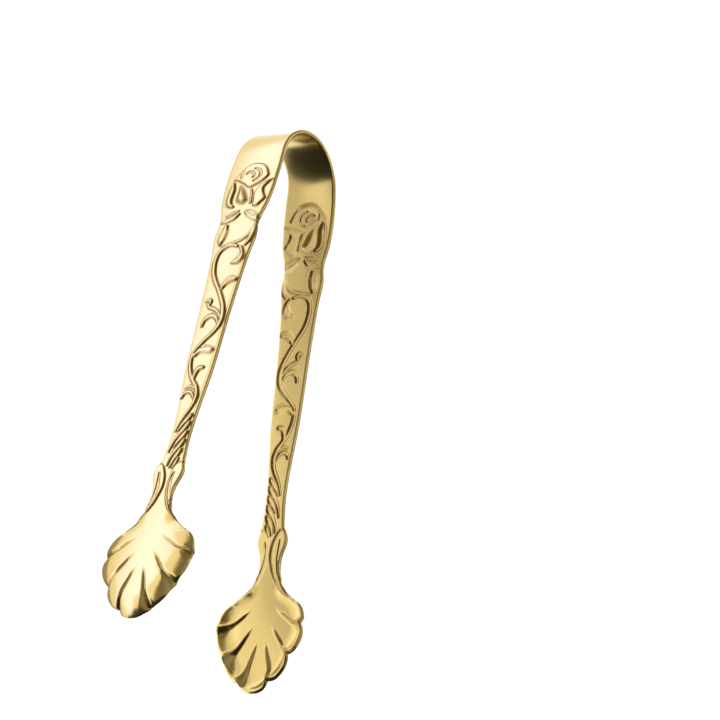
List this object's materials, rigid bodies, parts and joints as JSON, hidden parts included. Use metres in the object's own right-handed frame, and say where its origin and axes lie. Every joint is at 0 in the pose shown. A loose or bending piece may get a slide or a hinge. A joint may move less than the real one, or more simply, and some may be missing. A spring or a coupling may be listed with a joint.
{
  "type": "ice tongs",
  "caption": "Small gold-plated spring tongs for ice or sugar: a bent strip with relief-stamped arms and scallop-shell jaws.",
  "frame": {"origin": "centre of the tongs' length and opening, at the level of the jaws' lower edges as the tongs lie on their side", "axes": "+X along the tongs from the bow to the jaw tips, +Y across the opening towards the left arm, +Z along the strip's width"},
  "size_m": [0.1104, 0.0424, 0.021],
  "materials": {
    "gold_plated_steel": "bright gold-coloured plating over polished stamped stainless steel"
  },
  "bodies": {
    "bow": {"spring_bow": "gold_plated_steel"},
    "left_side": {"left_arm": "gold_plated_steel", "left_shell_jaw": "gold_plated_steel"},
    "right_side": {"right_arm": "gold_plated_steel", "right_shell_jaw": "gold_plated_steel"}
  },
  "joints": [
    {"name": "left_flex", "type": "hinge", "parent": "bow", "child": "left_side", "pos_m": [-0.05209, 0.00629, 0.01047], "axis": [0, 0, -1], "range_deg": [-3, 9.6], "stiffness_Nm_per_rad": 2},
    {"name": "right_flex", "type": "hinge", "parent": "bow", "child": "right_side", "pos_m": [-0.05209, -0.00629, 0.01047], "axis": [0, 0, 1], "range_deg": [-3, 9.6], "stiffness_Nm_per_rad": 2}
  ]
}
